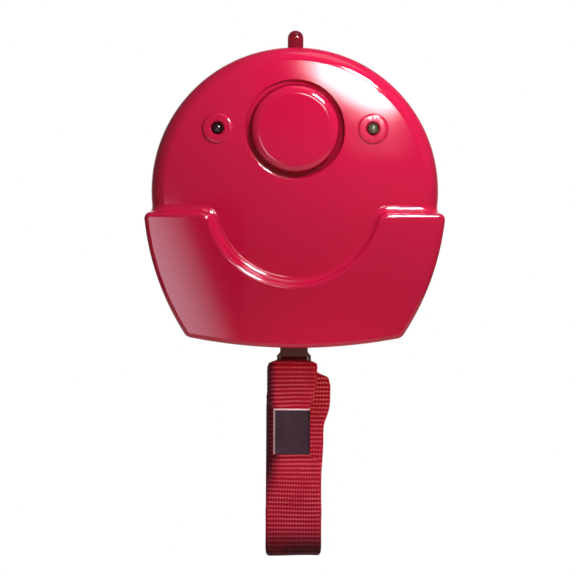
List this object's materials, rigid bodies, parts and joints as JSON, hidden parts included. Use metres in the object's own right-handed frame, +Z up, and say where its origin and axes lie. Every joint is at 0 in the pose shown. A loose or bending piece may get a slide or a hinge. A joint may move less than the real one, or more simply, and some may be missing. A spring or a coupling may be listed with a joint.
{
  "type": "panic button",
  "caption": "Body-worn panic button: round crowned face in a raised jaw, press button, lamps, pull plug on a webbing hand strap, sprung belt clip.",
  "frame": {"origin": "on the flat back of the case, straight behind the centre of the round face", "axes": "+Z up towards the top lamp as worn, +X to the right seen from the front, the front faces -Y"},
  "size_m": [0.081, 0.0323, 0.1423],
  "materials": {
    "shell": "glossy moulded plastic, deep pinkish red",
    "button": "glossy moulded plastic, the shell's red",
    "clear_red_lens": "clear dark red lamp body",
    "dark_lens": "near black infrared lamp body",
    "green_lens": "greenish water-clear lamp body",
    "black_plastic": "glossy black moulding",
    "matte_black": "matte black moulding",
    "white_plastic": "natural white moulding",
    "clip_plastic": "satin black moulding",
    "board_green": "green solder mask",
    "steel": "bright nickel plated steel",
    "crimp_steel": "brushed dull steel",
    "cell_jacket": "plain printed cell jacket",
    "copper": "bare copper strip",
    "webbing": "ribbed polyester webbing, red"
  },
  "bodies": {
    "case": {"front_shell": "shell", "rear_cover": "shell", "circuit_board": "board_green", "press_switch": "matte_black", "left_led": "dark_lens", "right_led": "green_lens", "top_led": "clear_red_lens", "transmitter_module": "steel", "control_chip": "matte_black", "antenna": "copper", "upper_cell": "cell_jacket", "lower_cell": "cell_jacket", "left_contact": "steel", "right_contact": "steel", "battery_door": "shell", "case_screws": "steel", "board_screws": "steel", "door_screw": "steel", "pull_socket": "matte_black", "clip_pin": "steel", "clip_spring": "steel", "button_spring": "steel"},
    "button": {"button_cap": "button", "switch_plunger": "white_plastic"},
    "plug": {"pull_plug": "black_plastic", "plug_pin": "steel"},
    "strap": {"hand_strap": "webbing", "strap_crimp": "crimp_steel"},
    "clip": {"belt_clip": "clip_plastic"}
  },
  "joints": [
    {"name": "button_press", "type": "slide", "parent": "case", "child": "button", "axis": [0, 1, 0], "range_m": [0, 0.0008], "stiffness_N_per_m": 900, "springref_m": -0.0008, "deforming": ["button_spring"]},
    {"name": "plug_pull", "type": "slide", "parent": "case", "child": "plug", "axis": [0, 0, -1], "range_m": [0, 0.01]},
    {"name": "strap_swing", "type": "hinge", "parent": "plug", "child": "strap", "pos_m": [0, -0.0124, -0.0487], "axis": [1, 0, 0], "range_deg": [-45, 45]},
    {"name": "clip_open", "type": "hinge", "parent": "case", "child": "clip", "pos_m": [0, 0.0036, 0.03], "axis": [1, 0, 0], "range_deg": [0, 12], "stiffness_Nm_per_rad": 0.4, "springref_deg": -17.19, "deforming": ["clip_spring"]}
  ]
}
